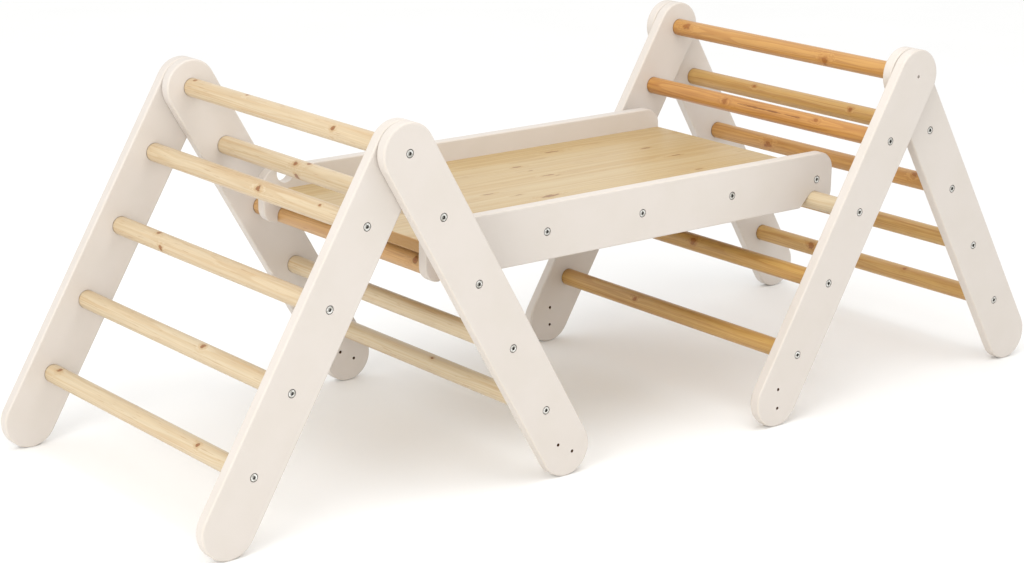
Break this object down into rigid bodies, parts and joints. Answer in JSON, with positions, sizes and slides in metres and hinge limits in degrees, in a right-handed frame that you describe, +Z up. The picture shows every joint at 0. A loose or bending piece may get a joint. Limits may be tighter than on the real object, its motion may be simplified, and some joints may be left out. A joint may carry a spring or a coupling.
{
  "type": "climbing set with slide board",
  "caption": "Two folding A-frame climbing ladders with white legs and pine rungs, joined by a reversible slide board hooked over their rungs.",
  "frame": {"origin": "on the floor, under the middle of the whole set", "axes": "+X along the slide board from the left stand to the right stand, +Y along the rungs from the near side to the far side, +Z up"},
  "size_m": [1.5886, 0.614, 0.5544],
  "materials": {
    "white_paint": "satin white paint on wood",
    "light_pine": "clear satin varnish",
    "warm_pine": "clear satin varnish on darker pine",
    "bed_pine": "clear satin varnish",
    "zinc": "zinc plated",
    "nylon": "natural nylon"
  },
  "bodies": {
    "left_bridge_ladder": {"left_bridge_leg_near": "white_paint", "left_bridge_leg_far": "white_paint", "left_bridge_rung_1": "light_pine", "left_bridge_rung_2": "light_pine", "left_bridge_rung_3": "light_pine", "left_bridge_rung_4": "light_pine", "left_bridge_rung_screws": "zinc", "left_top_rung": "light_pine", "left_axle_washers": "nylon", "left_axle_screw_far": "zinc", "left_axle_screw_near": "zinc"},
    "left_end_ladder": {"left_end_leg_near": "white_paint", "left_end_leg_far": "white_paint", "left_end_rung_1": "light_pine", "left_end_rung_2": "light_pine", "left_end_rung_3": "light_pine", "left_end_rung_4": "light_pine", "left_end_rung_screws": "zinc"},
    "slide_board": {"slide_rail_near": "white_paint", "slide_rail_far": "white_paint", "slide_bed": "bed_pine", "rail_screws_near": "zinc", "rail_screws_far": "zinc", "batten_screws": "zinc", "climb_batten_1": "bed_pine", "climb_batten_2": "bed_pine", "climb_batten_3": "bed_pine", "climb_batten_4": "bed_pine", "climb_batten_5": "bed_pine"},
    "right_bridge_ladder": {"right_bridge_leg_near": "white_paint", "right_bridge_leg_far": "white_paint", "right_bridge_rung_1": "warm_pine", "right_bridge_rung_2": "warm_pine", "right_bridge_rung_3": "warm_pine", "right_bridge_rung_4": "warm_pine", "right_bridge_rung_screws": "zinc", "right_top_rung": "warm_pine", "right_axle_washers": "nylon", "right_axle_screw_far": "zinc", "right_axle_pin_near": "zinc"},
    "right_end_ladder": {"right_end_leg_near": "white_paint", "right_end_leg_far": "white_paint", "right_end_rung_1": "warm_pine", "right_end_rung_2": "warm_pine", "right_end_rung_3": "warm_pine", "right_end_rung_4": "warm_pine", "right_end_rung_screws": "zinc"}
  },
  "joints": [
    {"name": "left_fold", "type": "hinge", "parent": "left_bridge_ladder", "child": "left_end_ladder", "pos_m": [-0.47523, 0, 0.51245], "axis": [0, -1, 0], "range_deg": [0, 28]},
    {"name": "right_fold", "type": "hinge", "parent": "right_bridge_ladder", "child": "right_end_ladder", "pos_m": [0.47523, 0, 0.51245], "axis": [0, 1, 0], "range_deg": [0, 28]},
    {"name": "slide_board_lift_off", "type": "slide", "parent": "left_bridge_ladder", "child": "slide_board", "axis": [0, 0, 1], "range_m": [0, 0.12]},
    {"name": "right_stand_shift", "type": "slide", "parent": "left_bridge_ladder", "child": "right_bridge_ladder", "axis": [0, 1, 0], "range_m": [-0.015, 0.06]}
  ]
}
